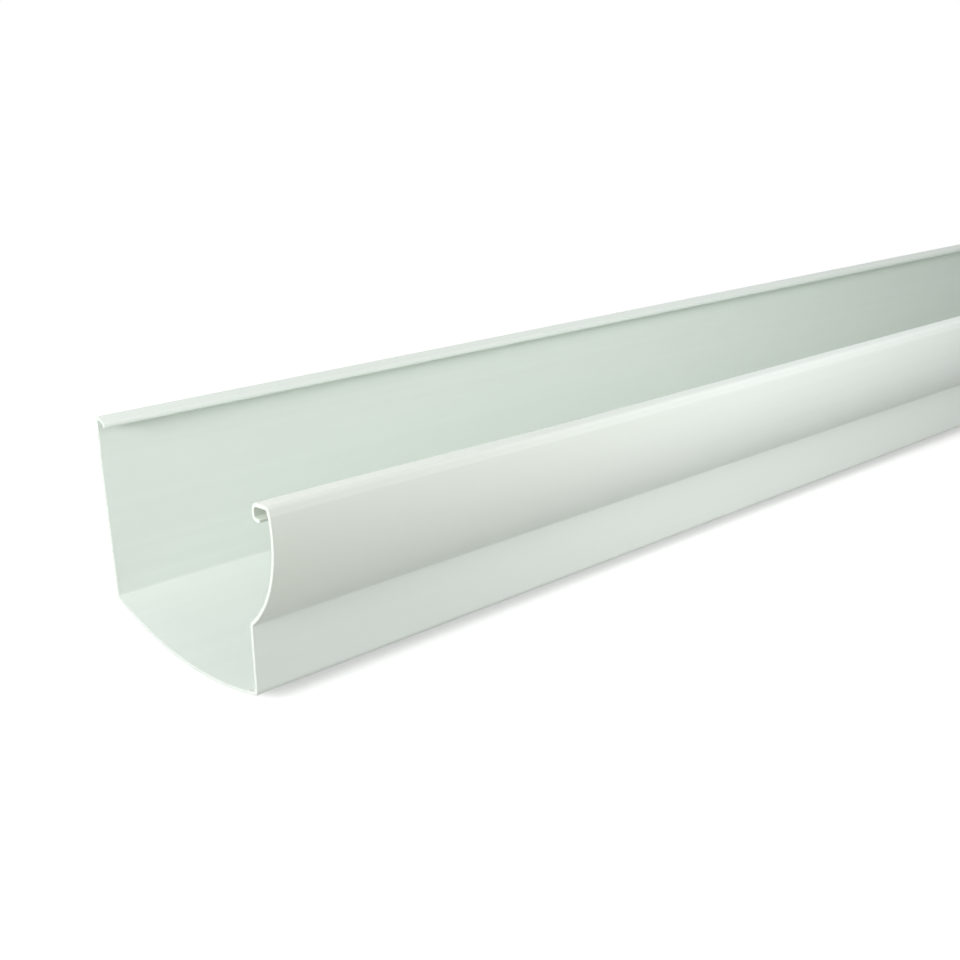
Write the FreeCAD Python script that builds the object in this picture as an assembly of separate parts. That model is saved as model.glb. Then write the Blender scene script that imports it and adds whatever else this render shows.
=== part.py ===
import FreeCAD, Part
import math
import os

from FreeCAD import Vector

# Ogee eaves gutter: one length of extruded uPVC, sawn square at both ends, with no joint and no fitting.
#
# The section is one wall of constant thickness. Seen from the cut end it runs from the tip of the small hook
# at the top of the back, down the back, along the curved sole, up the front fascia, out over the ogee and
# round the bead at the front. It is set out with the back upright, in two coordinates: "out" is measured
# forward from the back face, "up" from the lowest point of the sole. Tracks, straight or round, trace the
# outside face of that wall, and the inside face is the same tracks moved over by the wall thickness.
#
# Part frame: X along the length, the front towards -Y, +Z up, origin at the middle of the base. The gutter
# has no flat base. It lies on its curved sole, rolled until its weight is over the line of contact.
#
# All sizes are millimetres and degrees.

LENGTH = 2000.0
WALL = 1.4
DEPTH = 132.0                # back face to the furthest point of the ogee
BACK_HEIGHT = 90.0           # sole to the top of the hook
FRONT_HEIGHT = 82.5          # sole to the top front corner of the bead

BACK_STRIP = 21.0            # height of the top strip of the back, which leans forward
BACK_LEAN = 3.6
HOOK_REACH = 8.6
HOOK_SLOPE = 20.0            # fall of the hook's top towards the front
HOOK_LIP = 0.3               # straight part of the lip, between its bend and its rounded tip

SOLE_RADIUS = 191.0
SOLE_SHIFT = 6.15            # how far forward of halfway between back and fascia its lowest line lies

OGEE_PROJECTION = 20.3       # foot of the fascia to the furthest point of the ogee
FASCIA_LEAN = 2.0            # the fascia leans out at the top
CREASE_HEIGHT = 34.5         # sole to where the fascia meets the ogee
OGEE_RADIUS = 46.0

BEAD_FACE = 3.5              # height of the bead's face, from the end of the ogee to its top corner
BEAD_LEAN = 20.0
BEAD_SLOPE = 3.0             # fall of the bead's top towards the back
BEAD_DEPTH = 10.3
BEAD_HEIGHT = 7.2
BEAD_RETURN = 1.8            # straight part of the turned-in edge, between its bend and its rounded tip

# Radii on the tight side of each bend.
BACK_KINK_BEND = 60.0
SOLE_CORNER_BEND = 1.5
CREASE_BEND = 1.2
OGEE_END_BEND = 0.5
HOOK_BEND = 0.3
BEAD_FRONT_BEND = 0.7
BEAD_BACK_BEND = 1.9
BEAD_FOOT_BEND = 0.8

NODE = "gutter_section"

fascia_reach = DEPTH - OGEE_PROJECTION
sole_low_point = fascia_reach / 2 + SOLE_SHIFT


def along(heading):
    """Unit vector (out, up) for a heading in degrees, counted from straight out towards straight up."""
    turn = math.radians(heading)
    return Vector(math.cos(turn), math.sin(turn), 0)


def left_of(direction):
    """The direction a quarter turn to the left."""
    return Vector(-direction.y, direction.x, 0)


class Straight:
    """A straight track through a point, in a direction."""

    def __init__(self, point, direction):
        self.point = point
        self.direction = direction

    def moved_left(self, distance):
        return Straight(self.point + left_of(self.direction) * distance, self.direction)

    def nearest(self, point):
        return self.point + self.direction * (point - self.point).dot(self.direction)

    def heading_at(self, point):
        return self.direction

    def edge(self, start, end):
        return Part.LineSegment(start, end).toShape()


class Round:
    """A track round a circle, followed anticlockwise, so that its centre is on the left."""

    def __init__(self, centre, radius):
        self.centre = centre
        self.radius = radius

    def moved_left(self, distance):
        return Round(self.centre, self.radius - distance)

    def nearest(self, point):
        return self.centre + (point - self.centre).normalize() * self.radius

    def heading_at(self, point):
        return left_of((point - self.centre).normalize())

    def edge(self, start, end):
        return arc_round(self.centre, start, end)


def arc_round(centre, start, end):
    """The shorter arc from start to end round a centre."""
    middle_way = ((start - centre).normalize() + (end - centre).normalize()).normalize()
    middle = centre + middle_way * (start - centre).Length
    return Part.Arc(start, middle, end).toShape()


def crossing(first, second, near):
    """The point where two tracks cross, the one nearest a given point where there are two."""
    if isinstance(first, Round):
        first, second = second, first
    if isinstance(second, Straight):
        normal = left_of(second.direction)
        reach = (second.point - first.point).dot(normal) / first.direction.dot(normal)
        return first.point + first.direction * reach
    foot = first.nearest(second.centre)
    half_chord = math.sqrt(second.radius ** 2 - (foot - second.centre).Length ** 2)
    ends = [foot - first.direction * half_chord, foot + first.direction * half_chord]
    return min(ends, key=lambda end: (end - near).Length)


def level(height):
    """A level track at a height, for finding where another track reaches that height."""
    return Straight(Vector(0, height, 0), along(0))


def hook_and_back():
    """The hook and the back, from the lip of the hook down to the sole."""
    kink = Vector(0, BACK_HEIGHT - BACK_STRIP, 0)
    lower_back = Straight(kink, along(270))
    upper_back = Straight(kink, along(270 - BACK_LEAN))

    crown_radius = HOOK_BEND + WALL
    crown = crossing(upper_back.moved_left(crown_radius), level(BACK_HEIGHT - crown_radius), kink)
    slope = along(180 - HOOK_SLOPE)
    hook_top = Straight(crown - left_of(slope) * crown_radius, slope)
    hook_lip = Straight(Vector(HOOK_REACH, BACK_HEIGHT, 0), along(90))

    return [
        (hook_lip, HOOK_BEND, hook_lip.point),
        (hook_top, HOOK_BEND, crown),
        (upper_back, BACK_KINK_BEND, kink),
        (lower_back, SOLE_CORNER_BEND, Vector()),
    ]


def sole_and_front():
    """The sole, the fascia and the ogee, from the foot of the back up to the bead."""
    sole = Round(Vector(sole_low_point, SOLE_RADIUS, 0), SOLE_RADIUS)
    fascia_foot = Vector(fascia_reach, 0, 0)
    fascia = Straight(fascia_foot, along(90 - FASCIA_LEAN))

    crease = crossing(fascia, level(CREASE_HEIGHT), fascia_foot)
    ogee_out = DEPTH - OGEE_RADIUS
    ogee_rise = math.sqrt(OGEE_RADIUS ** 2 - (crease.x - ogee_out) ** 2)
    ogee = Round(Vector(ogee_out, CREASE_HEIGHT + ogee_rise, 0), OGEE_RADIUS)
    bead_start_height = FRONT_HEIGHT - BEAD_FACE
    bead_start = crossing(level(bead_start_height), ogee, Vector(DEPTH, bead_start_height, 0))

    return [
        (sole, SOLE_CORNER_BEND, fascia_foot),
        (fascia, CREASE_BEND, crease),
        (ogee, OGEE_END_BEND, bead_start),
    ]


def bead(start):
    """The bead, from where the ogee ends round to its turned-in edge."""
    face = Straight(start, along(90 + BEAD_LEAN))
    front_corner = crossing(face, level(FRONT_HEIGHT), start)
    back_out = front_corner.x - BEAD_DEPTH
    top = Straight(front_corner, along(180 + BEAD_SLOPE))
    back = Straight(Vector(back_out, FRONT_HEIGHT, 0), along(270))
    turned_in = Straight(Vector(back_out, FRONT_HEIGHT - BEAD_HEIGHT, 0), along(0))

    return [
        (face, BEAD_FRONT_BEND, front_corner),
        (top, BEAD_BACK_BEND, back.point),
        (back, BEAD_FOOT_BEND, turned_in.point),
        (turned_in, 0, turned_in.point),
    ]


def section_tracks():
    """The outside face as tracks in order, each with its bend to the next and roughly where that bend is."""
    tracks = hook_and_back() + sole_and_front()
    ogee, bend, bead_start = tracks[-1]
    return tracks + bead(bead_start)


def bend_centres(tracks):
    """The centre of the bend between each track and the next."""
    centres = []
    for (track, bend, near), (following, next_bend, next_near) in zip(tracks, tracks[1:]):
        corner = crossing(track, following, near)
        turns_left = track.heading_at(corner).cross(following.heading_at(corner)).z > 0
        shift = bend + WALL if turns_left else -bend
        centres.append(crossing(track.moved_left(shift), following.moved_left(shift), near))
    return centres


def face_edges(tracks, inset):
    """Edges of the wall's face an inset to the left of the tracks, with its first and last point."""
    faces = [track.moved_left(inset) for track, bend, near in tracks]
    centres = bend_centres(tracks)
    first = faces[0].nearest(centres[0]) - faces[0].direction * HOOK_LIP
    last = faces[-1].nearest(centres[-1]) + faces[-1].direction * BEAD_RETURN
    edges = []
    start = first
    for face, following, centre in zip(faces, faces[1:], centres):
        bend_start = face.nearest(centre)
        bend_end = following.nearest(centre)
        edges.append(face.edge(start, bend_start))
        edges.append(arc_round(centre, bend_start, bend_end))
        start = bend_end
    edges.append(faces[-1].edge(start, last))
    return edges, first, last


def tip_edge(outside, inside, ahead):
    """The rounded tip that joins the wall's two faces, bulging in the direction ahead."""
    crown = (outside + inside) * 0.5 + ahead * (WALL / 2)
    return Part.Arc(outside, crown, inside).toShape()


def section_face():
    """The cut section of the wall, as a face in the (out, up) plane."""
    tracks = section_tracks()
    outer_edges, outer_first, outer_last = face_edges(tracks, 0)
    inner_edges, inner_first, inner_last = face_edges(tracks, WALL)
    hook_tip = tip_edge(outer_first, inner_first, -tracks[0][0].direction)
    bead_tip = tip_edge(outer_last, inner_last, tracks[-1][0].direction)
    return Part.Face(Part.Wire(Part.__sortEdges__(outer_edges + inner_edges + [hook_tip, bead_tip])))


def rest_angle(face):
    """How far forward the gutter rolls, from its back upright, to bring its weight over the contact line."""
    weight = face.CenterOfMass
    return math.degrees(math.atan2(weight.x - sole_low_point, SOLE_RADIUS - weight.y))


def gutter():
    """The gutter lying at rest in the part frame."""
    face = section_face()
    angle = rest_angle(face)
    solid = face.extrude(Vector(0, 0, LENGTH))
    # (out, up, along) becomes (-Y, Z, -X): the section stands up and its front turns towards -Y.
    solid.rotate(Vector(), Vector(1, 0, 0), 90)
    solid.rotate(Vector(), Vector(0, 0, 1), -90)
    solid.rotate(Vector(), Vector(1, 0, 0), angle)
    box = solid.optimalBoundingBox(False, False)
    solid.translate(Vector(-box.Center.x, -box.Center.y, -box.ZMin))
    return solid


os.makedirs("parts", exist_ok=True)
gutter().exportStep("parts/" + NODE + ".step")
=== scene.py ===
import math
import random

import bpy
from mathutils import Matrix, Vector


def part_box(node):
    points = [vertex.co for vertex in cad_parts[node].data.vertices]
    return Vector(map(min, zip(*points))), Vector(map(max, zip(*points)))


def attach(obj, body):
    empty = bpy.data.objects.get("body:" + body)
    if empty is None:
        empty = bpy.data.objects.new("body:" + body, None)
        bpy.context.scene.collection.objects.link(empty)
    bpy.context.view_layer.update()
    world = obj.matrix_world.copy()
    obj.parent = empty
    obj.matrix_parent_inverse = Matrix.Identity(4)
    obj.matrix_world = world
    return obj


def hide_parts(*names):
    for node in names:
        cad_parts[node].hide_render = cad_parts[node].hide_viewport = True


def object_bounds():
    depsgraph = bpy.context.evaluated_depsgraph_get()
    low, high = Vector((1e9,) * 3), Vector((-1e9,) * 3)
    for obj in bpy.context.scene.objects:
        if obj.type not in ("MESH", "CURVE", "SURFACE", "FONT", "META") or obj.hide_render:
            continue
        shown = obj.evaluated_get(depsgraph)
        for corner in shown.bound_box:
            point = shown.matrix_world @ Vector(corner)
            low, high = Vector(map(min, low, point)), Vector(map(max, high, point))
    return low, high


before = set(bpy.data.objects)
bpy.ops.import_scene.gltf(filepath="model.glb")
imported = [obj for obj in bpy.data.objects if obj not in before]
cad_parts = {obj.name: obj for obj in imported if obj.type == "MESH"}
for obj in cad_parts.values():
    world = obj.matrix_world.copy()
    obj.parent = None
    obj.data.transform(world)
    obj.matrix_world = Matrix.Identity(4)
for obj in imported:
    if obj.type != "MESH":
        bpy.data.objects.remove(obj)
cad_low, cad_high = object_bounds()

# Looks of an ogee eaves gutter: one length of extruded uPVC in pale grey green, sawn square.
#
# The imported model's curves are coarse, so the wall is built again here from the same section, finely,
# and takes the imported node's place. The section is set out with the back upright, in two coordinates:
# "out" is measured forward from the back face, "up" from the lowest point of the sole.
#
# All sizes are metres and degrees.

NODE = "gutter_section"
BODY = "root"

WALL = 0.0014
DEPTH = 0.132                # back face to the furthest point of the ogee
BACK_HEIGHT = 0.090          # sole to the top of the hook
FRONT_HEIGHT = 0.0825        # sole to the top front corner of the bead

BACK_STRIP = 0.021           # height of the top strip of the back, which leans forward
BACK_LEAN = 3.6
HOOK_REACH = 0.0086
HOOK_SLOPE = 20.0            # fall of the hook's top towards the front
HOOK_LIP = 0.0003            # straight part of the lip, between its bend and its rounded tip

SOLE_RADIUS = 0.191
SOLE_SHIFT = 0.00615         # how far forward of halfway between back and fascia its lowest line lies

OGEE_PROJECTION = 0.0203     # foot of the fascia to the furthest point of the ogee
FASCIA_LEAN = 2.0            # the fascia leans out at the top
CREASE_HEIGHT = 0.0345       # sole to where the fascia meets the ogee
OGEE_RADIUS = 0.046

BEAD_FACE = 0.0035           # height of the bead's face, from the end of the ogee to its top corner
BEAD_LEAN = 20.0
BEAD_SLOPE = 3.0             # fall of the bead's top towards the back
BEAD_DEPTH = 0.0103
BEAD_HEIGHT = 0.0072
BEAD_RETURN = 0.0018         # straight part of the turned-in edge, between its bend and its rounded tip

# Radii on the tight side of each bend.
BACK_KINK_BEND = 0.060
SOLE_CORNER_BEND = 0.0015
CREASE_BEND = 0.0012
OGEE_END_BEND = 0.0005
HOOK_BEND = 0.0003
BEAD_FRONT_BEND = 0.0007
BEAD_BACK_BEND = 0.0019
BEAD_FOOT_BEND = 0.0008

# How finely the wall is built.
STRAIGHT_STEPS = 5
BEND_STEPS = 8
ROUND_STEPS = 40
TIP_STEPS = 3
GUARD = 0.0003               # an extra point this near each end of a straight keeps its shading flat
STATIONS = 72                # along the length
END_CLOSENESS = 0.9          # 0 spaces the stations evenly, and 1 draws them closest to the two ends
SHARP_ANGLE = 32             # edges sharper than this aren't shaded smooth

# What sawing and handling leave.
SAW_CHAMFER = 0.00012        # the saw's edge, rubbed down
FRONT_DROP = 0.0016          # the front edge dips this much between the ends, where it is less stiff
DROP_RUN = 0.170             # and reaches that dip this far from each end
BURRS = 14                   # curls left by the saw in the near end's front bottom corner
BURR_SEED = 7
BURR_SPREAD = 0.0035
BURR_LENGTH = 0.0009
BURR_WIDTHS = (0.3, 0.8)     # as a share of the length
BURR_DEPTHS = (0.00002, 0.0002)    # how far in from the sawn face they sit
BEAD_FLOOR_DROP = 0.0127     # top of the hook down to just over the floor of the bead's hollow
BEAD_FLOOR_REACH = 0.0108    # front of the ogee back to the bead's inner back wall

# Material slots of the wall.
SKIN = 0
SAWN = 1
# painted shade: strips in the bead's hollow and round its turned-in tip, darkened for the shade that
# falls there
PAINTED_SHADE = 2

fascia_reach = DEPTH - OGEE_PROJECTION
sole_low_point = fascia_reach / 2 + SOLE_SHIFT


def along(heading):
    """Unit vector (out, up) for a heading in degrees, counted from straight out towards straight up."""
    turn = math.radians(heading)
    return Vector((math.cos(turn), math.sin(turn)))


def left_of(direction):
    """The direction a quarter turn to the left."""
    return Vector((-direction.y, direction.x))


class Straight:
    """A straight track through a point, in a direction."""

    def __init__(self, point, direction):
        self.point = point
        self.direction = direction

    def moved_left(self, distance):
        return Straight(self.point + left_of(self.direction) * distance, self.direction)

    def nearest(self, point):
        return self.point + self.direction * (point - self.point).dot(self.direction)

    def heading_at(self, point):
        return self.direction

    def points(self, start, end):
        guard = min(GUARD / (end - start).length, 0.25)
        between_guards = 1 - 2 * guard
        shares = [guard + between_guards * i / STRAIGHT_STEPS for i in range(1, STRAIGHT_STEPS)]
        return [start.lerp(end, share) for share in [0, guard] + shares + [1 - guard]]


class Round:
    """A track round a circle, followed anticlockwise, so that its centre is on the left."""

    def __init__(self, centre, radius):
        self.centre = centre
        self.radius = radius

    def moved_left(self, distance):
        return Round(self.centre, self.radius - distance)

    def nearest(self, point):
        return self.centre + (point - self.centre).normalized() * self.radius

    def heading_at(self, point):
        return left_of((point - self.centre).normalized())

    def points(self, start, end):
        return arc_points(self.centre, start, end, ROUND_STEPS)


def arc_points(centre, start, end, steps):
    """Points along the shorter arc from start round a centre, without its end."""
    first = start - centre
    last = end - centre
    turn = math.atan2(first.cross(last), first.dot(last))
    return [centre + Matrix.Rotation(turn * i / steps, 2) @ first for i in range(steps)]


def crossing(first, second, near):
    """The point where two tracks cross, the one nearest a given point where there are two."""
    if isinstance(first, Round):
        first, second = second, first
    if isinstance(second, Straight):
        normal = left_of(second.direction)
        reach = (second.point - first.point).dot(normal) / first.direction.dot(normal)
        return first.point + first.direction * reach
    foot = first.nearest(second.centre)
    half_chord = math.sqrt(second.radius ** 2 - (foot - second.centre).length ** 2)
    ends = [foot - first.direction * half_chord, foot + first.direction * half_chord]
    return min(ends, key=lambda end: (end - near).length)


def level(height):
    """A level track at a height, for finding where another track reaches that height."""
    return Straight(Vector((0, height)), along(0))


def hook_and_back():
    """The hook and the back, from the lip of the hook down to the sole."""
    kink = Vector((0, BACK_HEIGHT - BACK_STRIP))
    lower_back = Straight(kink, along(270))
    upper_back = Straight(kink, along(270 - BACK_LEAN))
    crown_radius = HOOK_BEND + WALL
    crown = crossing(upper_back.moved_left(crown_radius), level(BACK_HEIGHT - crown_radius), kink)
    slope = along(180 - HOOK_SLOPE)
    hook_top = Straight(crown - left_of(slope) * crown_radius, slope)
    hook_lip = Straight(Vector((HOOK_REACH, BACK_HEIGHT)), along(90))
    return [
        (hook_lip, HOOK_BEND, hook_lip.point),
        (hook_top, HOOK_BEND, crown),
        (upper_back, BACK_KINK_BEND, kink),
        (lower_back, SOLE_CORNER_BEND, Vector((0, 0))),
    ]


def sole_and_front():
    """The sole, the fascia and the ogee, from the foot of the back up to the bead."""
    sole = Round(Vector((sole_low_point, SOLE_RADIUS)), SOLE_RADIUS)
    fascia_foot = Vector((fascia_reach, 0))
    fascia = Straight(fascia_foot, along(90 - FASCIA_LEAN))
    crease = crossing(fascia, level(CREASE_HEIGHT), fascia_foot)
    ogee_out = DEPTH - OGEE_RADIUS
    ogee_rise = math.sqrt(OGEE_RADIUS ** 2 - (crease.x - ogee_out) ** 2)
    ogee = Round(Vector((ogee_out, CREASE_HEIGHT + ogee_rise)), OGEE_RADIUS)
    bead_start_height = FRONT_HEIGHT - BEAD_FACE
    bead_start = crossing(level(bead_start_height), ogee, Vector((DEPTH, bead_start_height)))
    return [
        (sole, SOLE_CORNER_BEND, fascia_foot),
        (fascia, CREASE_BEND, crease),
        (ogee, OGEE_END_BEND, bead_start),
    ]


def bead(start):
    """The bead, from where the ogee ends round to its turned-in edge."""
    face = Straight(start, along(90 + BEAD_LEAN))
    front_corner = crossing(face, level(FRONT_HEIGHT), start)
    back_out = front_corner.x - BEAD_DEPTH
    top = Straight(front_corner, along(180 + BEAD_SLOPE))
    back = Straight(Vector((back_out, FRONT_HEIGHT)), along(270))
    turned_in = Straight(Vector((back_out, FRONT_HEIGHT - BEAD_HEIGHT)), along(0))
    return [
        (face, BEAD_FRONT_BEND, front_corner),
        (top, BEAD_BACK_BEND, back.point),
        (back, BEAD_FOOT_BEND, turned_in.point),
        (turned_in, 0, turned_in.point),
    ]


def section_tracks():
    """The outside face as tracks in order, each with its bend to the next and about where that is."""
    tracks = hook_and_back() + sole_and_front()
    ogee, bend, bead_start = tracks[-1]
    return tracks + bead(bead_start)


def bend_centres(tracks):
    """The centre of the bend between each track and the next."""
    centres = []
    for (track, bend, near), (following, next_bend, next_near) in zip(tracks, tracks[1:]):
        corner = crossing(track, following, near)
        turns_left = track.heading_at(corner).cross(following.heading_at(corner)) > 0
        shift = bend + WALL if turns_left else -bend
        centres.append(crossing(track.moved_left(shift), following.moved_left(shift), near))
    return centres


def face_points(tracks, inset):
    """Points along the wall's face an inset to the left of the tracks, as many for every inset."""
    faces = [track.moved_left(inset) for track, bend, near in tracks]
    centres = bend_centres(tracks)
    start = faces[0].nearest(centres[0]) - faces[0].direction * HOOK_LIP
    last = faces[-1].nearest(centres[-1]) + faces[-1].direction * BEAD_RETURN
    points = []
    for face, following, centre in zip(faces, faces[1:], centres):
        bend_start = face.nearest(centre)
        bend_end = following.nearest(centre)
        points += face.points(start, bend_start)
        points += arc_points(centre, bend_start, bend_end, BEND_STEPS)
        start = bend_end
    return points + faces[-1].points(start, last) + [last]


def tip_points(outside, inside, ahead):
    """Pairs of points round a rounded tip, from the wall's two faces towards the crown of the tip."""
    middle = (outside + inside) / 2
    side = outside - middle
    reach = ahead * (WALL / 2)
    pairs = []
    for i in range(1, TIP_STEPS + 1):
        turn = math.radians(90) * i / (TIP_STEPS + 0.5)
        forward = reach * math.sin(turn)
        aside = side * math.cos(turn)
        pairs.append((middle + aside + forward, middle - aside + forward))
    return pairs


def section_pairs():
    """The cut section as pairs of points across the wall, outside and inside, from hook to bead."""
    tracks = section_tracks()
    pairs = list(zip(face_points(tracks, 0), face_points(tracks, WALL)))
    hook_tip = tip_points(*pairs[0], -tracks[0][0].direction)
    bead_tip = tip_points(*pairs[-1], tracks[-1][0].direction)
    return hook_tip[::-1] + pairs + bead_tip


def centroid(outline):
    """The centroid of a closed outline."""
    area = 0
    moment = Vector((0, 0))
    for here, following in zip(outline, outline[1:] + outline[:1]):
        slice_area = here.cross(following)
        area += slice_area
        moment += (here + following) * slice_area
    return moment / (3 * area)


def at_rest(pairs):
    """The pairs as (Y, Z) in the part frame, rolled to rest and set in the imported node's box."""
    outsides = [outside for outside, inside in pairs]
    insides = [inside for outside, inside in pairs]
    weight = centroid(outsides + insides[::-1])
    roll = Matrix.Rotation(math.atan2(weight.x - sole_low_point, SOLE_RADIUS - weight.y), 2)
    stood = [[roll @ Vector((-point.x, point.y)) for point in pair] for pair in pairs]
    across = [point.x for pair in stood for point in pair]
    lowest = min(point.y for pair in stood for point in pair)
    low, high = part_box(NODE)
    shift = Vector(((low.y + high.y - min(across) - max(across)) / 2, -lowest))
    return [[point + shift for point in pair] for pair in stood]


def dipped(point, front_foot, front_top, share):
    """A point of the section where the front edge has dropped by a share of its dip."""
    rise = (point.z - front_foot.y) / (front_top.y - front_foot.y)
    if point.y > 0 or rise < 0:
        return point
    return point - Vector((0, 0, FRONT_DROP * share * rise))


def station_places(low, high):
    """Distances along the length: closer together near the two ends."""
    places = []
    for i in range(STATIONS + 1):
        share = i / STATIONS
        drawn = math.sin(2 * math.pi * share) / (2 * math.pi) * END_CLOSENESS
        places.append(low + (high - low) * (share - drawn))
    return places


def dip_share(x, low, high):
    """How much of its dip the front edge has reached at a place along the length."""
    share = min((x - low) / DROP_RUN, (high - x) / DROP_RUN, 1)
    return share * share * (3 - 2 * share)


def inside_bead(first, second):
    """Whether a strip of the inside face lies in the bead's hollow, whose shade is painted into the
    colour.
    """
    middle = (first + second) / 2
    low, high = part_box(NODE)
    return middle.y > high.z - BEAD_FLOOR_DROP and middle.x < low.y + BEAD_FLOOR_REACH


def ring_vertices(pairs, x, chamfered, share):
    """The section's outline at a place along the length, with its front edge's share of the dip."""
    fronts = [outside for outside, inside in pairs if outside.x < 0]
    front_foot = min(fronts, key=lambda point: abs(point.y - CREASE_HEIGHT) + point.x)
    front_top = max(fronts, key=lambda point: point.y)
    narrowing = SAW_CHAMFER / WALL if chamfered else 0
    outsides = [outside.lerp(inside, narrowing) for outside, inside in pairs]
    insides = [inside.lerp(outside, narrowing) for outside, inside in pairs]
    outline = outsides + insides[::-1]
    return [dipped(Vector((x, point.x, point.y)), front_foot, front_top, share) for point in outline]


def painted_shade_strips(pairs):
    """Which strips round the section, counted from the hook along the outside, get painted shade."""
    count = len(pairs)
    insides = [inside for outside, inside in pairs][::-1]
    shaded = [False] * count + [inside_bead(*ends) for ends in zip(insides, insides[1:])] + [False]
    # the tip of the bead's turned-in edge gets the painted shade too
    for i in range(count - TIP_STEPS - 1, count + TIP_STEPS):
        shaded[i] = True
    return shaded


def side_faces(ring_count, shaded):
    """The quads between each ring and the next, with their material slots."""
    around = len(shaded)
    faces = []
    slots = []
    for ring in range(ring_count - 1):
        for i in range(around):
            near_i = ring * around + i
            near_j = ring * around + (i + 1) % around
            faces.append((near_i, near_j, near_j + around, near_i + around))
            slots.append(PAINTED_SHADE if shaded[i] else SKIN)
    return faces, slots


def end_faces(count, last):
    """The quads across the wall at the two sawn ends, where last is the far ring's first vertex."""
    faces = []
    for i in range(count - 1):
        across = (i, 2 * count - 1 - i, 2 * count - 2 - i, i + 1)
        faces.append(across)
        faces.append(tuple(last + k for k in across[::-1]))
    return faces


def wall_mesh(pairs):
    """The whole wall as one closed mesh of quads, in slots for skin, sawn faces and strips with painted
    shade.
    """
    low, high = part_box(NODE)
    rings = [(low.x, True)]
    rings += [(x, False) for x in station_places(low.x + SAW_CHAMFER, high.x - SAW_CHAMFER)]
    rings += [(high.x, True)]
    vertices = []
    for x, chamfered in rings:
        vertices += ring_vertices(pairs, x, chamfered, dip_share(x, low.x, high.x))
    sides, slots = side_faces(len(rings), painted_shade_strips(pairs))
    ends = end_faces(len(pairs), (len(rings) - 1) * 2 * len(pairs))
    mesh = bpy.data.meshes.new("gutter_wall")
    mesh.from_pydata(vertices, [], sides + ends)
    mesh.polygons.foreach_set("material_index", slots + [SAWN] * len(ends))
    mesh.validate()
    mesh.update()
    return mesh


def burr_mesh(pairs):
    """Small curls of swarf clinging to the sawn edge, inside the near end's front bottom corner."""
    chance = random.Random(BURR_SEED)
    low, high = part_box(NODE)
    foot = max((inside for outside, inside in pairs), key=lambda point: -point.x - 2 * point.y)
    vertices = []
    faces = []
    for i in range(BURRS):
        reach = chance.uniform(0, BURR_SPREAD)
        off = Vector((reach, -reach / 4)) if i % 3 else Vector((0, reach))
        width = chance.uniform(*BURR_WIDTHS) * BURR_LENGTH
        x = low.x + chance.uniform(*BURR_DEPTHS)
        base = Vector((x, foot.x + off.x, foot.y + off.y))
        curl = Vector((chance.uniform(0, 0.6), chance.uniform(0, 0.8), chance.uniform(0.4, 1)))
        root = Vector((width, 0, 0))
        side = Vector((width / 2, width / 2, 0))
        first = len(vertices)
        vertices += [base, base + root, base + side, base + curl * BURR_LENGTH]
        for corners in ((0, 2, 1), (0, 1, 3), (1, 2, 3), (2, 0, 3)):
            faces.append(tuple(first + k for k in corners))
    mesh = bpy.data.meshes.new("saw_burrs")
    mesh.from_pydata(vertices, [], faces)
    return mesh


def add_object(name, mesh, materials):
    """An object of a mesh with its materials, in the scene."""
    for material in materials:
        mesh.materials.append(material)
    thing = bpy.data.objects.new(name, mesh)
    bpy.context.scene.collection.objects.link(thing)
    return thing


# ---- Materials

MIX_FIRST = 6                # the colour sockets of a Mix node, which share their names with others
MIX_SECOND = 7
MIX_RESULT = 2

UPVC_IOR = 1.53
NEAR_END_TONE_RUN = 0.25           # a faint warmer, slightly darker tone lies on the front this far along from the near end
NEAR_END_TONE_FULL = 0.012         # the tone is full as far in as this from the front of the ogee
NEAR_END_TONE_NONE = 0.020         # and none is left as far in as this

# Scales of what the surface shows, in waves a metre along, across and up.
STREAKS = (1.2, 260, 260)
CLOUDS = (5, 16, 16)
GRAIN = (900, 2600, 2600)
SAW_LINES = (300, 900, 5200)


class Nodes:
    """A material's node tree, with a short way to add and link nodes."""

    def __init__(self, name):
        self.material = bpy.data.materials.new(name)
        self.material.use_nodes = True
        self.tree = self.material.node_tree
        self.shader = self.tree.nodes["Principled BSDF"]

    def add(self, kind, values=None, **properties):
        node = self.tree.nodes.new(kind)
        for key, value in properties.items():
            setattr(node, key, value)
        for key, value in (values or {}).items():
            if isinstance(value, bpy.types.NodeSocket):
                self.tree.links.new(value, node.inputs[key])
            else:
                node.inputs[key].default_value = value
        return node

    def link(self, output, socket):
        self.tree.links.new(output, socket)


def linear(red, green, blue):
    """A colour written as display values from 0 to 255, as the linear colour that a socket takes."""
    channels = []
    for value in (red, green, blue):
        share = value / 255
        channels.append(share / 12.92 if share <= 0.04045 else ((share + 0.055) / 1.055) ** 2.4)
    return (*channels, 1)


PALE = linear(232, 239, 233)
STREAK = linear(229, 236, 229)
CLOUD = linear(228, 236, 230)
# a faint warmer, slightly darker tone for the front near the near end
NEAR_END_TONE = linear(229, 235, 226)
# painted shade: the skin's colours darkened for the shade in the bead's hollow and at its turned-in tip
SHADE_PALE = linear(204, 213, 208)
SHADE_STREAK = linear(196, 206, 200)
SHADE_CLOUD = linear(192, 203, 197)
SAWN_DARK = linear(217, 223, 217)
SAWN_PALE = linear(223, 228, 222)
SWARF_DARK = linear(246, 249, 246)
SWARF_PALE = linear(250, 252, 250)
WHITE = (1, 1, 1, 1)


def stretched(nodes, scale):
    """Object coordinates scaled by a different amount along, across and up."""
    place = nodes.add("ShaderNodeTexCoord").outputs["Object"]
    return nodes.add("ShaderNodeMapping", {"Vector": place, "Scale": scale}).outputs["Vector"]


def noise(nodes, scale, detail):
    """A noise value from object coordinates, with its own scale along, across and up."""
    values = {"Vector": stretched(nodes, scale), "Scale": 1, "Detail": detail}
    return nodes.add("ShaderNodeTexNoise", values).outputs["Fac"]


def between(nodes, value, low, high, to_low, to_high):
    """A value mapped from one range to another."""
    values = {"Value": value, "From Min": low, "From Max": high, "To Min": to_low, "To Max": to_high}
    return nodes.add("ShaderNodeMapRange", values).outputs["Result"]


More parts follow.
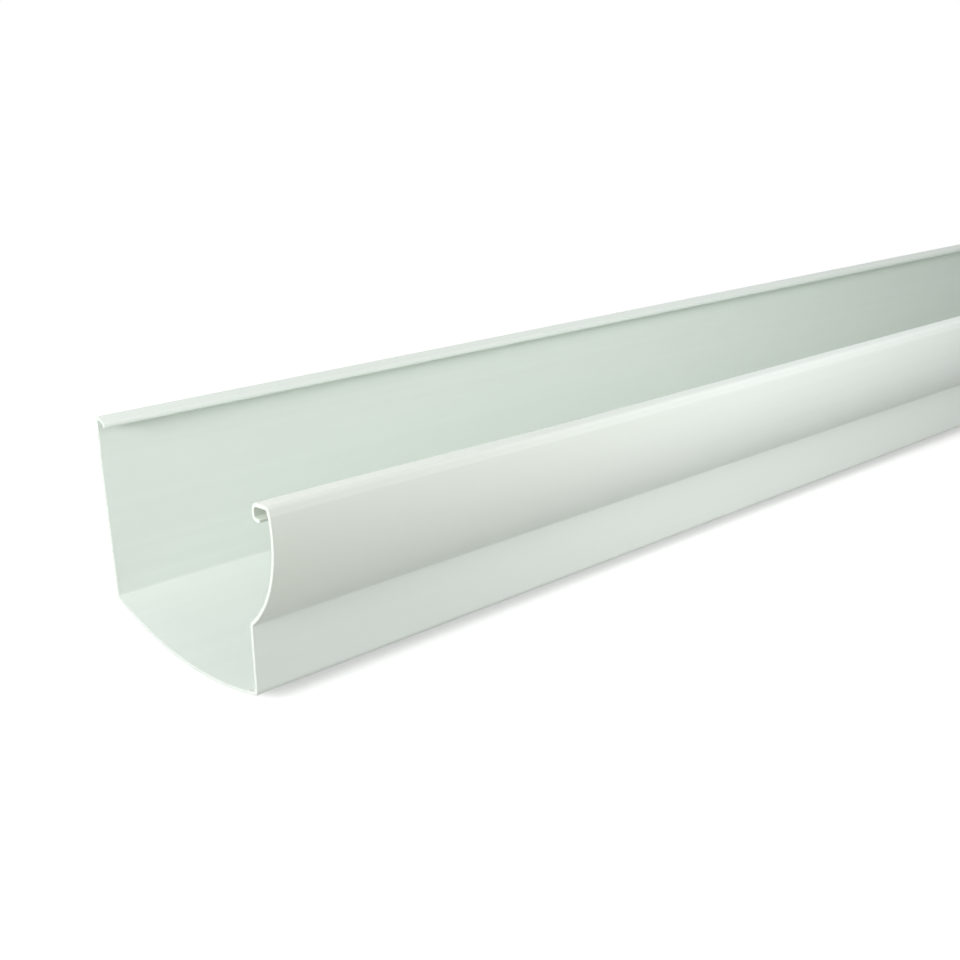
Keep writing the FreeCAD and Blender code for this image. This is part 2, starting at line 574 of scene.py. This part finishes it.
def mixed(nodes, share, first, second):
    """A colour mixed from two by a share."""
    mix = nodes.add("ShaderNodeMix", data_type="RGBA")
    nodes.link(share, mix.inputs["Factor"])
    for value, socket in ((first, mix.inputs[MIX_FIRST]), (second, mix.inputs[MIX_SECOND])):
        if isinstance(value, bpy.types.NodeSocket):
            nodes.link(value, socket)
        else:
            socket.default_value = value
    return mix.outputs[MIX_RESULT]


def near_end_tone_share(nodes):
    """How much of the warmer, slightly darker tone a place takes: only at the front, less and less from
    the near end.
    """
    place = nodes.add("ShaderNodeTexCoord").outputs["Object"]
    parts = nodes.add("ShaderNodeSeparateXYZ", {"Vector": place})
    near_end = between(nodes, parts.outputs["X"], cad_low.x, cad_low.x + NEAR_END_TONE_RUN, 1, 0)
    full = cad_low.y + NEAR_END_TONE_FULL
    front = between(nodes, parts.outputs["Y"], full, cad_low.y + NEAR_END_TONE_NONE, 1, 0)
    return nodes.add("ShaderNodeMath", {0: near_end, 1: front}, operation="MULTIPLY").outputs["Value"]


def skin_material(name, pale, dark, cloud, specular):
    """Extruded skin: satin, with faint die lines and streaks along the length, and light clouds."""
    nodes = Nodes(name)
    streaks = noise(nodes, STREAKS, detail=4)
    clouds = noise(nodes, CLOUDS, detail=3)
    colour = mixed(nodes, between(nodes, streaks, 0.3, 0.7, 0, 1), dark, pale)
    colour = mixed(nodes, between(nodes, clouds, 0.35, 0.65, 0, 0.6), colour, cloud)
    # the front near the near end turns faintly warmer and slightly darker
    colour = mixed(nodes, near_end_tone_share(nodes), colour, NEAR_END_TONE)
    nodes.link(colour, nodes.shader.inputs["Base Color"])
    nodes.link(between(nodes, streaks, 0.3, 0.7, 0.34, 0.42), nodes.shader.inputs["Roughness"])
    fine = nodes.add("ShaderNodeBump", {"Height": streaks, "Strength": 0.08, "Distance": 0.0002})
    grain = noise(nodes, GRAIN, detail=2)
    under = fine.outputs["Normal"]
    values = {"Height": grain, "Strength": 0.05, "Distance": 0.0001, "Normal": under}
    bump = nodes.add("ShaderNodeBump", values)
    nodes.link(bump.outputs["Normal"], nodes.shader.inputs["Normal"])
    nodes.shader.inputs["IOR"].default_value = UPVC_IOR
    nodes.shader.inputs["Specular IOR Level"].default_value = specular
    return nodes.material


def sawn_material(name, dark, pale):
    """Sawn face: matt, with the saw's fine lines."""
    nodes = Nodes(name)
    lines = noise(nodes, SAW_LINES, detail=3)
    colour = mixed(nodes, between(nodes, lines, 0.3, 0.7, 0, 1), dark, pale)
    nodes.link(colour, nodes.shader.inputs["Base Color"])
    nodes.link(between(nodes, lines, 0.3, 0.7, 0.55, 0.75), nodes.shader.inputs["Roughness"])
    bump = nodes.add("ShaderNodeBump", {"Height": lines, "Strength": 0.4, "Distance": 0.0001})
    nodes.link(bump.outputs["Normal"], nodes.shader.inputs["Normal"])
    nodes.shader.inputs["IOR"].default_value = UPVC_IOR
    nodes.shader.inputs["Specular IOR Level"].default_value = 0.2
    return nodes.material


def gutter_pieces():
    """The wall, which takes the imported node's place, and the burrs on its near end."""
    pairs = at_rest(section_pairs())
    skin = skin_material("upvc_skin", PALE, STREAK, CLOUD, 0.2)
    # the skin darkened and with less sheen, as painted shade for the bead's hollow and tip
    shaded = skin_material("upvc_painted_shade", SHADE_PALE, SHADE_STREAK, SHADE_CLOUD, 0.1)
    sawn = sawn_material("upvc_sawn", SAWN_DARK, SAWN_PALE)
    swarf = sawn_material("upvc_swarf", SWARF_DARK, SWARF_PALE)
    wall = add_object("gutter_wall", wall_mesh(pairs), [skin, sawn, shaded])
    wall.data.shade_smooth()
    wall.data.set_sharp_from_angle(angle=math.radians(SHARP_ANGLE))
    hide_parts(NODE)
    burrs = add_object("saw_burrs", burr_mesh(pairs), [swarf])
    for piece in (wall, burrs):
        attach(piece, BODY)


# ---- Stage, lights and camera

FLOOR_SIZE = 12.0
FLOOR_GAP = 0.0002           # keeps the floor's face off the gutter's lowest line
FLOOR_COLOUR = linear(180, 180, 178)
WORLD_LIGHT = 0.5
LAMP_AIM = 0.05              # height above the floor that the lamps are set out from
NEAR_LIFT = 0.4              # how much the floor is lifted to white: less near the gutter's shadow
FAR_LIFT = 1.0
LIFT_START = 0.45            # distance from the gutter's middle, where lengths along it count a third
LIFT_END = 1.1
LIFT_SCALE = (0.33, 1, 0)


def seen_rays(tree):
    """1 for the rays that show the surround: those of the camera, of gloss and of clear things."""
    path = tree.nodes.new("ShaderNodeLightPath")
    seen = path.outputs["Is Camera Ray"]
    for kind in ("Is Glossy Ray", "Is Transmission Ray"):
        either = tree.nodes.new("ShaderNodeMath")
        either.operation = "MAXIMUM"
        tree.links.new(seen, either.inputs[0])
        tree.links.new(path.outputs[kind], either.inputs[1])
        seen = either.outputs[0]
    return seen


def floor_material():
    """Pale floor: what shows of it is white, with the gutter's own shadow kept."""
    nodes = Nodes("floor")
    nodes.shader.inputs["Base Color"].default_value = FLOOR_COLOUR
    nodes.shader.inputs["Roughness"].default_value = 0.9
    white = nodes.add("ShaderNodeBsdfDiffuse", {"Color": WHITE})
    away = nodes.add("ShaderNodeVectorMath", {0: stretched(nodes, LIFT_SCALE)}, operation="LENGTH")
    lift = between(nodes, away.outputs["Value"], LIFT_START, LIFT_END, NEAR_LIFT, FAR_LIFT)
    glow = nodes.add("ShaderNodeEmission", {"Color": WHITE, "Strength": lift})
    lifted = nodes.add("ShaderNodeAddShader", {0: white.outputs[0], 1: glow.outputs[0]})
    seen = seen_rays(nodes.tree)
    plain = nodes.shader.outputs[0]
    choice = nodes.add("ShaderNodeMixShader", {0: seen, 1: plain, 2: lifted.outputs[0]})
    nodes.link(choice.outputs[0], nodes.tree.nodes["Material Output"].inputs["Surface"])
    return nodes.material


def make_floor():
    """The floor that the gutter lies on."""
    half = FLOOR_SIZE / 2
    corners = [(-half, -half, 0), (half, -half, 0), (half, half, 0), (-half, half, 0)]
    mesh = bpy.data.meshes.new("floor")
    mesh.from_pydata(corners, [], [(0, 1, 2, 3)])
    floor = add_object("floor", mesh, [floor_material()])
    floor.location.z = cad_low.z - FLOOR_GAP


def make_world():
    """A white surround to the eye and in gloss, and a plain level of light from it."""
    world = bpy.data.worlds.new("studio")
    world.use_nodes = True
    tree = world.node_tree
    background = tree.nodes["Background"]
    strength = tree.nodes.new("ShaderNodeMapRange")
    strength.inputs["To Min"].default_value = WORLD_LIGHT
    strength.inputs["To Max"].default_value = 1
    tree.links.new(seen_rays(tree), strength.inputs["Value"])
    tree.links.new(strength.outputs["Result"], background.inputs["Strength"])
    background.inputs["Color"].default_value = WHITE
    bpy.context.scene.world = world


def soft_lamp(name, place, target, size, watts):
    """A square soft box at a place, turned to a target."""
    data = bpy.data.lights.new(name, "AREA")
    data.shape = "SQUARE"
    data.size = size
    data.energy = watts
    lamp = bpy.data.objects.new(name, data)
    lamp.location = place
    lamp.visible_camera = False
    lamp.rotation_mode = "QUATERNION"
    lamp.rotation_quaternion = (target - place).to_track_quat("-Z", "Y")
    bpy.context.scene.collection.objects.link(lamp)


def lamps_at_near_end():
    """Soft boxes round the end that the camera looks at."""
    end = Vector((cad_low.x, 0, LAMP_AIM))
    near = end + Vector((0.1, 0, 0))
    part = end + Vector((0.2, 0, 0))
    further = end + Vector((0.3, 0, 0))
    soft_lamp("down_channel", end + Vector((-0.45, -0.04, 0.2)), near, 0.15, 1.4)
    soft_lamp("end_front", end + Vector((-0.9, -0.35, 0.35)), near, 0.3, 3.3)
    soft_lamp("back_top", end + Vector((0.1, 0.7, 0.9)), near, 0.8, 0.9)
    soft_lamp("front_low", end + Vector((0.2, -0.27, 0.03)), part, 0.12, 0.055)
    soft_lamp("front", end + Vector((0.2, -0.35, 0.15)), part, 0.2, 0.12)
    soft_lamp("front_top", end + Vector((0.35, -0.3, 0.25)), further, 0.2, 0.4)


def lamps_at_rest_of_length():
    """Broad soft boxes, turned to the middle and the far half."""
    middle = Vector((0, 0, LAMP_AIM))
    soft_lamp("over_rest", middle + Vector((0.5, 0.1, 1.4)), middle + Vector((0.4, 0, 0)), 1.2, 1)
    soft_lamp("before_rest", middle + Vector((0.6, -1.6, 0.6)), middle + Vector((0.5, 0, 0)), 1.0, 1.5)
    soft_lamp("behind", middle + Vector((0, 1.6, 0.6)), middle, 1.0, 1.5)


CAMERA_PLACE = Vector((-1.18885, -0.39155, 0.21031))
CAMERA_HEADING = 40.577      # clockwise from +Y
CAMERA_FALL = 17.964         # below level
CAMERA_ROLL = -1.617
CAMERA_SENSOR = 36           # in millimetres, as the lens
CAMERA_LENS = 45.2625


def make_camera():
    """The camera, which looks along the gutter from in front of its near end."""
    data = bpy.data.cameras.new("camera")
    data.sensor_width = CAMERA_SENSOR
    data.lens = CAMERA_LENS
    data.clip_start = 0.01
    data.clip_end = 50
    camera = bpy.data.objects.new("camera", data)
    turned = Matrix.Rotation(math.radians(-CAMERA_HEADING), 4, "Z")
    tipped = Matrix.Rotation(math.radians(90 - CAMERA_FALL), 4, "X")
    rolled = Matrix.Rotation(math.radians(CAMERA_ROLL), 4, "Z")
    camera.matrix_world = Matrix.Translation(CAMERA_PLACE) @ turned @ tipped @ rolled
    bpy.context.scene.collection.objects.link(camera)
    bpy.context.scene.camera = camera


bpy.context.scene.view_settings.view_transform = "Standard"
gutter_pieces()
make_floor()
make_world()
lamps_at_near_end()
lamps_at_rest_of_length()
make_camera()

bpy.context.view_layer.update()
